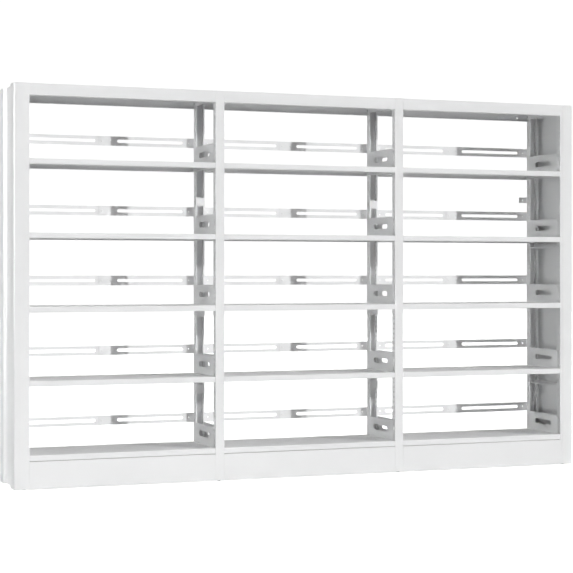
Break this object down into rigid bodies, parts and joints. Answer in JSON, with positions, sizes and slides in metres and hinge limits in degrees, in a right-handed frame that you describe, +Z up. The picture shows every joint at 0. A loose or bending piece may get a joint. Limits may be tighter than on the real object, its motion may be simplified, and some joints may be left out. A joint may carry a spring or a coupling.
{
  "type": "metal bookshelf",
  "caption": "Light grey steel library shelving range: slotted columns, loose adjustable boards on side brackets, back rails, kick plates, top boards and pressed end covers.",
  "frame": {"origin": "on the floor under the middle of the range", "axes": "+X along the range to the right as seen from the front, +Y from the front face to the back, +Z up"},
  "size_m": [3.132, 0.38, 2.004],
  "materials": {
    "light_grey_paint": "satin powder coat",
    "zinc_plated_steel": "bright zinc plate",
    "dark_plastic": "moulded"
  },
  "bodies": {
    "range": {"back_rail_rivets": "light_grey_paint", "back_rails_bay_1_left": "light_grey_paint", "back_rails_bay_1_right": "light_grey_paint", "back_rails_bay_2_left": "light_grey_paint", "back_rails_bay_2_right": "light_grey_paint", "back_rails_bay_3_left": "light_grey_paint", "back_rails_bay_3_right": "light_grey_paint", "brackets_bay_1_left": "light_grey_paint", "brackets_bay_1_right": "light_grey_paint", "brackets_bay_2_left": "light_grey_paint", "brackets_bay_2_right": "light_grey_paint", "brackets_bay_3_left": "light_grey_paint", "brackets_bay_3_right": "light_grey_paint", "column_foot_plates": "light_grey_paint", "column_mouth_plates": "light_grey_paint", "cover_clips": "light_grey_paint", "frame_foot_ties": "light_grey_paint", "frame_head_ties": "light_grey_paint", "front_column_1": "light_grey_paint", "front_column_2": "light_grey_paint", "front_column_3": "light_grey_paint", "front_column_4": "light_grey_paint", "front_kick_plate_1": "light_grey_paint", "front_kick_plate_2": "light_grey_paint", "front_kick_plate_3": "light_grey_paint", "kick_plate_screws": "zinc_plated_steel", "left_cover_hook_rails": "light_grey_paint", "left_end_cover": "light_grey_paint", "levelling_glides": "dark_plastic", "rear_column_1": "light_grey_paint", "rear_column_2": "light_grey_paint", "rear_column_3": "light_grey_paint", "rear_column_4": "light_grey_paint", "rear_kick_plate_1": "light_grey_paint", "rear_kick_plate_2": "light_grey_paint", "rear_kick_plate_3": "light_grey_paint", "rear_wall_tabs": "light_grey_paint", "right_cover_hook_rails": "light_grey_paint", "right_end_cover": "light_grey_paint", "top_board_1": "light_grey_paint", "top_board_2": "light_grey_paint", "top_board_3": "light_grey_paint", "top_board_screws": "zinc_plated_steel"},
    "shelf_board_bay_1_level_1": {"shelf_board_bay_1_level_1": "light_grey_paint"},
    "shelf_board_bay_1_level_2": {"shelf_board_bay_1_level_2": "light_grey_paint"},
    "shelf_board_bay_1_level_3": {"shelf_board_bay_1_level_3": "light_grey_paint"},
    "shelf_board_bay_1_level_4": {"shelf_board_bay_1_level_4": "light_grey_paint"},
    "shelf_board_bay_1_level_5": {"shelf_board_bay_1_level_5": "light_grey_paint"},
    "shelf_board_bay_2_level_1": {"shelf_board_bay_2_level_1": "light_grey_paint"},
    "shelf_board_bay_2_level_2": {"shelf_board_bay_2_level_2": "light_grey_paint"},
    "shelf_board_bay_2_level_3": {"shelf_board_bay_2_level_3": "light_grey_paint"},
    "shelf_board_bay_2_level_4": {"shelf_board_bay_2_level_4": "light_grey_paint"},
    "shelf_board_bay_2_level_5": {"shelf_board_bay_2_level_5": "light_grey_paint"},
    "shelf_board_bay_3_level_1": {"shelf_board_bay_3_level_1": "light_grey_paint"},
    "shelf_board_bay_3_level_2": {"shelf_board_bay_3_level_2": "light_grey_paint"},
    "shelf_board_bay_3_level_3": {"shelf_board_bay_3_level_3": "light_grey_paint"},
    "shelf_board_bay_3_level_4": {"shelf_board_bay_3_level_4": "light_grey_paint"},
    "shelf_board_bay_3_level_5": {"shelf_board_bay_3_level_5": "light_grey_paint"}
  },
  "joints": [
    {"name": "lift_bay_1_level_1", "type": "slide", "parent": "range", "child": "shelf_board_bay_1_level_1", "axis": [0, 0, 1], "range_m": [0, 0.3]},
    {"name": "lift_bay_1_level_2", "type": "slide", "parent": "range", "child": "shelf_board_bay_1_level_2", "axis": [0, 0, 1], "range_m": [0, 0.3]},
    {"name": "lift_bay_1_level_3", "type": "slide", "parent": "range", "child": "shelf_board_bay_1_level_3", "axis": [0, 0, 1], "range_m": [0, 0.3]},
    {"name": "lift_bay_1_level_4", "type": "slide", "parent": "range", "child": "shelf_board_bay_1_level_4", "axis": [0, 0, 1], "range_m": [0, 0.3]},
    {"name": "lift_bay_1_level_5", "type": "slide", "parent": "range", "child": "shelf_board_bay_1_level_5", "axis": [0, 0, 1], "range_m": [0, 0.3]},
    {"name": "lift_bay_2_level_1", "type": "slide", "parent": "range", "child": "shelf_board_bay_2_level_1", "axis": [0, 0, 1], "range_m": [0, 0.3]},
    {"name": "lift_bay_2_level_2", "type": "slide", "parent": "range", "child": "shelf_board_bay_2_level_2", "axis": [0, 0, 1], "range_m": [0, 0.3]},
    {"name": "lift_bay_2_level_3", "type": "slide", "parent": "range", "child": "shelf_board_bay_2_level_3", "axis": [0, 0, 1], "range_m": [0, 0.3]},
    {"name": "lift_bay_2_level_4", "type": "slide", "parent": "range", "child": "shelf_board_bay_2_level_4", "axis": [0, 0, 1], "range_m": [0, 0.3]},
    {"name": "lift_bay_2_level_5", "type": "slide", "parent": "range", "child": "shelf_board_bay_2_level_5", "axis": [0, 0, 1], "range_m": [0, 0.3]},
    {"name": "lift_bay_3_level_1", "type": "slide", "parent": "range", "child": "shelf_board_bay_3_level_1", "axis": [0, 0, 1], "range_m": [0, 0.3]},
    {"name": "lift_bay_3_level_2", "type": "slide", "parent": "range", "child": "shelf_board_bay_3_level_2", "axis": [0, 0, 1], "range_m": [0, 0.3]},
    {"name": "lift_bay_3_level_3", "type": "slide", "parent": "range", "child": "shelf_board_bay_3_level_3", "axis": [0, 0, 1], "range_m": [0, 0.3]},
    {"name": "lift_bay_3_level_4", "type": "slide", "parent": "range", "child": "shelf_board_bay_3_level_4", "axis": [0, 0, 1], "range_m": [0, 0.3]},
    {"name": "lift_bay_3_level_5", "type": "slide", "parent": "range", "child": "shelf_board_bay_3_level_5", "axis": [0, 0, 1], "range_m": [0, 0.3]}
  ]
}
